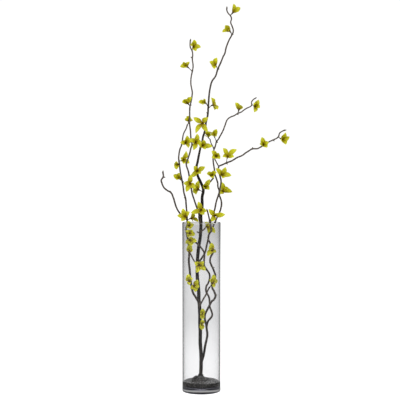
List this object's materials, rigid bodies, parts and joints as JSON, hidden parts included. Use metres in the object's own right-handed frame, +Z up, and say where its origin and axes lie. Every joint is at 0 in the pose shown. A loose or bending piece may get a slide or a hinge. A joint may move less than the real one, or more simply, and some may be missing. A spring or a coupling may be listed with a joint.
{
  "type": "forsythia branches in glass vase",
  "caption": "Bare forsythia branches with yellow four-petalled blooms, standing in a tall clear glass cylinder vase.",
  "frame": {"origin": "middle of the vase's flat underside", "axes": "+Z up along the vase's axis, -Y towards the front, +X to the right as seen from the front"},
  "size_m": [0.333, 0.1844, 1.0316],
  "materials": {
    "clear_glass": "clear polished glass, thick at the base",
    "dark_resin": "near-black glossy setting fill",
    "dark_bark": "thin dark brown bark with pale pores",
    "yellow_petal": "soft yellow-green petals with brownish throats"
  },
  "bodies": {
    "root": {"vase": "clear_glass", "dark_fill": "dark_resin", "main_branch": "dark_bark", "curly_branch": "dark_bark", "bloom_01": "yellow_petal", "bloom_02": "yellow_petal", "bloom_03": "yellow_petal", "bloom_04": "yellow_petal", "bloom_05": "yellow_petal", "bloom_06": "yellow_petal", "bloom_07": "yellow_petal", "bloom_08": "yellow_petal", "bloom_09": "yellow_petal", "bloom_10": "yellow_petal", "bloom_11": "yellow_petal", "bloom_12": "yellow_petal", "bloom_13": "yellow_petal", "bloom_14": "yellow_petal", "bloom_15": "yellow_petal", "bloom_16": "yellow_petal", "bloom_17": "yellow_petal", "bloom_18": "yellow_petal", "bloom_19": "yellow_petal", "bloom_20": "yellow_petal", "bloom_21": "yellow_petal", "bloom_22": "yellow_petal", "bloom_23": "yellow_petal", "bloom_24": "yellow_petal", "bloom_25": "yellow_petal", "bloom_26": "yellow_petal", "bloom_27": "yellow_petal", "bloom_28": "yellow_petal", "bloom_29": "yellow_petal", "bloom_30": "yellow_petal", "bloom_31": "yellow_petal", "bloom_32": "yellow_petal", "bloom_33": "yellow_petal", "bloom_34": "yellow_petal", "bloom_35": "yellow_petal", "bloom_36": "yellow_petal", "bloom_37": "yellow_petal", "bloom_38": "yellow_petal", "bloom_39": "yellow_petal", "bloom_40": "yellow_petal", "bloom_41": "yellow_petal", "bloom_42": "yellow_petal", "bloom_43": "yellow_petal", "bloom_44": "yellow_petal", "bloom_45": "yellow_petal", "bloom_46": "yellow_petal", "bloom_47": "yellow_petal"}
  },
  "joints": []
}
